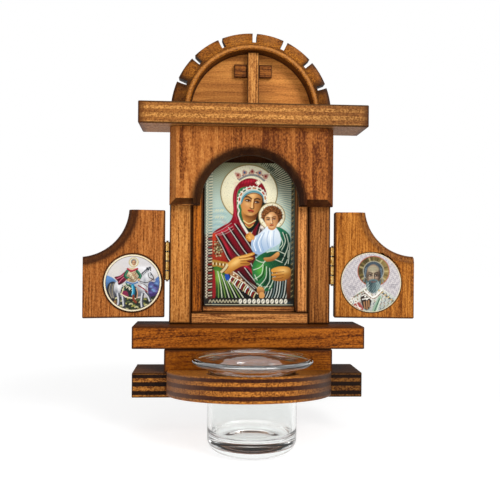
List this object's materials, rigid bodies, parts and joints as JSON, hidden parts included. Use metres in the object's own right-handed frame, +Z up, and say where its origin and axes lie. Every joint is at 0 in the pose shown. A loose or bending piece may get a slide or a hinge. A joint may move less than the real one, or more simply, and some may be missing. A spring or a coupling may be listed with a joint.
{
  "type": "home altar",
  "caption": "Wooden wall altar with an arched niche holding an icon, hinged side doors, a toothed crown and a glass cup hanging in a half-round plate.",
  "frame": {"origin": "on the flat back face of the back board, in the plane that lies against the wall, on the body's centre line and 150 mm above the underside of the bottom bar", "axes": "+Z up, the front looks along -Y, +Y is into the wall, +X is to the right as seen from the front"},
  "size_m": [0.2098, 0.1037, 0.2538],
  "materials": {
    "stained_wood": "beech, stained orange brown, satin oil",
    "stained_plywood": "birch plywood, stained, dark glue lines and dark plies on its edges",
    "foil_print": "picture printed on glossy foil",
    "roundel_print": "small round picture under a clear glaze, thin pale metal rim",
    "hinge_brass": "plain brass, a little worn",
    "clear_glass": "clear pressed glass"
  },
  "bodies": {
    "body": {"tympanum_arch": "stained_plywood", "tympanum_panel": "stained_wood", "cross_upright": "stained_wood", "cross_arm_left": "stained_wood", "cross_arm_right": "stained_wood", "top_shelf": "stained_plywood", "hood": "stained_wood", "back_board": "stained_wood", "left_stile": "stained_wood", "right_stile": "stained_wood", "left_inner_strip": "stained_wood", "right_inner_strip": "stained_wood", "bottom_rail": "stained_wood", "icon_ledge": "stained_wood", "icon_plate": "foil_print", "middle_shelf": "stained_wood", "lower_block": "stained_wood", "bottom_bar": "stained_plywood", "candle_plate": "stained_plywood", "glass_cup": "clear_glass", "left_hinge_body_leaf": "hinge_brass", "left_hinge_pin": "hinge_brass", "right_hinge_body_leaf": "hinge_brass", "right_hinge_pin": "hinge_brass"},
    "left_leaf": {"left_door": "stained_wood", "left_roundel": "roundel_print", "left_hinge_door_leaf": "hinge_brass"},
    "right_leaf": {"right_door": "stained_wood", "right_roundel": "roundel_print", "right_hinge_door_leaf": "hinge_brass"}
  },
  "joints": [
    {"name": "left_door_hinge", "type": "hinge", "parent": "body", "child": "left_leaf", "pos_m": [-0.05245, -0.0196, -0.0669], "axis": [0, 0, 1], "range_deg": [-10, 170]},
    {"name": "right_door_hinge", "type": "hinge", "parent": "body", "child": "right_leaf", "pos_m": [0.05245, -0.0196, -0.0692], "axis": [0, 0, -1], "range_deg": [-6, 174]}
  ]
}
